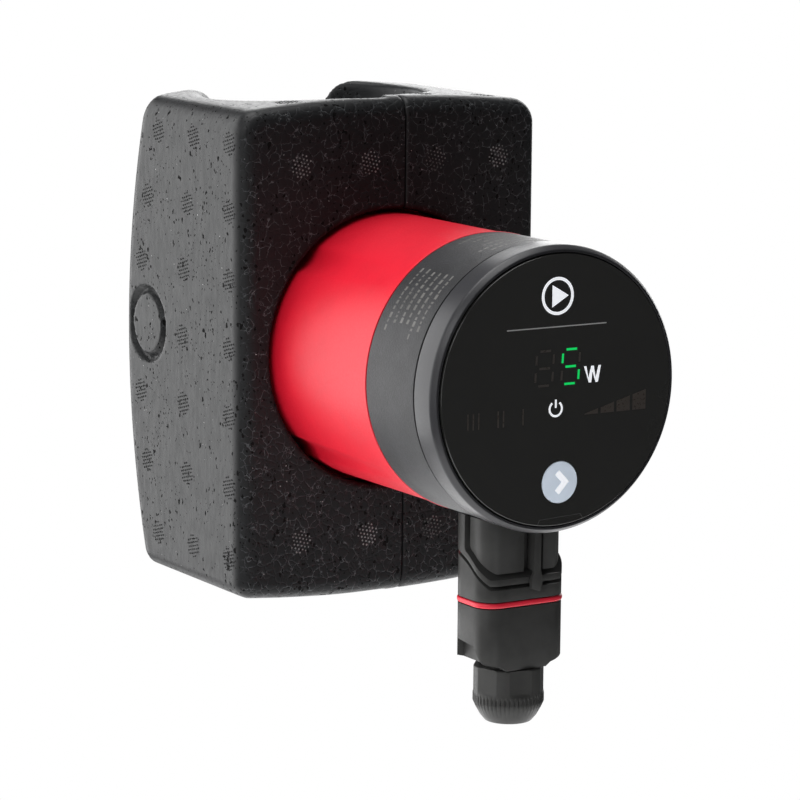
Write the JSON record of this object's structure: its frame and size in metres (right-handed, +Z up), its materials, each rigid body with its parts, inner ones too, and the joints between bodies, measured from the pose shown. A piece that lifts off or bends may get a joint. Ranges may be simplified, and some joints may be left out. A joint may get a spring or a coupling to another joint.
{
  "type": "circulator pump",
  "caption": "Inline wet-rotor heating circulator with a round display head, red motor body, foam insulation shell halves and a plug-in power connector.",
  "frame": {"origin": "where the vertical pipe axis meets the horizontal motor axis", "axes": "+Z up the pipe axis, -Y out through the display, +X to the right of someone reading the display"},
  "size_m": [0.1054, 0.1757, 0.1779],
  "materials": {
    "foam": "moulded expanded polypropylene, black",
    "cast_iron": "dark dip-coated cast iron",
    "red_paint": "satin red paint on an aluminium casting",
    "dark_plastic": "fine spark-eroded texture",
    "bezel_plastic": "smooth satin",
    "plug_plastic": "satin moulded",
    "black_glass": "polished, smoked",
    "pale_button": "satin",
    "red_rubber": "smooth silicone",
    "black_rubber": "smooth",
    "stainless": "drawn",
    "steel": "zinc plated",
    "copper": "enamelled copper wire",
    "ceramic": "ground alumina",
    "carbon": "dry carbon",
    "composite": "glass-filled moulding",
    "board": "solder-resist green",
    "component": "moulded",
    "brass": "bright"
  },
  "bodies": {
    "pump": {"pump_housing": "cast_iron", "wear_ring": "stainless", "housing_gasket": "black_rubber", "rotor_can": "stainless", "front_bearing": "ceramic", "bearing_holder": "stainless", "bearing_plate": "stainless", "rear_bearing": "ceramic", "stator_housing": "red_paint", "housing_screw_1": "steel", "housing_screw_2": "steel", "housing_screw_3": "steel", "housing_screw_4": "steel", "stator_core": "steel", "coil_1": "copper", "coil_2": "copper", "coil_3": "copper", "coil_4": "copper", "coil_5": "copper", "coil_6": "copper", "control_housing": "dark_plastic", "bezel_ring": "bezel_plastic", "display_panel": "black_glass", "circuit_board": "board", "capacitor": "component", "line_choke": "copper", "display_board": "board", "digit_display": "component", "button_switch": "component", "power_socket": "plug_plastic", "pin_line": "brass", "pin_earth": "brass", "pin_neutral": "brass"},
    "rotor": {"impeller": "composite", "shaft": "ceramic", "rotor_magnet": "stainless", "thrust_bearing": "carbon"},
    "button": {"push_button": "pale_button"},
    "plug": {"plug_collar": "plug_plastic", "plug_seal": "red_rubber", "plug_body": "plug_plastic", "plug_insert": "component", "gland_grommet": "black_rubber"},
    "clamp": {"clamp_ring": "plug_plastic"},
    "nut": {"gland_nut": "plug_plastic"},
    "left_shell": {"shell_left": "foam"},
    "right_shell": {"shell_right": "foam"}
  },
  "joints": [
    {"name": "rotor_spin", "type": "hinge", "parent": "pump", "child": "rotor", "pos_m": [0, 0, 0], "axis": [0, 1, 0], "continuous": true},
    {"name": "button_press", "type": "slide", "parent": "pump", "child": "button", "axis": [0, 1, 0], "range_m": [0, 0.0005], "stiffness_N_per_m": 1500, "springref_m": -0.0005},
    {"name": "plug_pull", "type": "slide", "parent": "pump", "child": "plug", "axis": [0, 0, -1], "range_m": [0, 0.03]},
    {"name": "clamp_slide", "type": "slide", "parent": "plug", "child": "clamp", "axis": [0, 0, -1], "range_m": [0, 0.0062]},
    {"name": "nut_turn", "type": "hinge", "parent": "clamp", "child": "nut", "pos_m": [0, -0.1057, 0], "axis": [0, 0, -1], "range_deg": [0, 1440]},
    {"name": "left_shell_off", "type": "slide", "parent": "pump", "child": "left_shell", "axis": [-1, 0, 0], "range_m": [0, 0.08]},
    {"name": "right_shell_off", "type": "slide", "parent": "pump", "child": "right_shell", "axis": [1, 0, 0], "range_m": [0, 0.08]}
  ],
  "couplings": [
    {"joint": "clamp_slide", "follows": "nut_turn", "m_per_rad": 0.00023873}
  ]
}
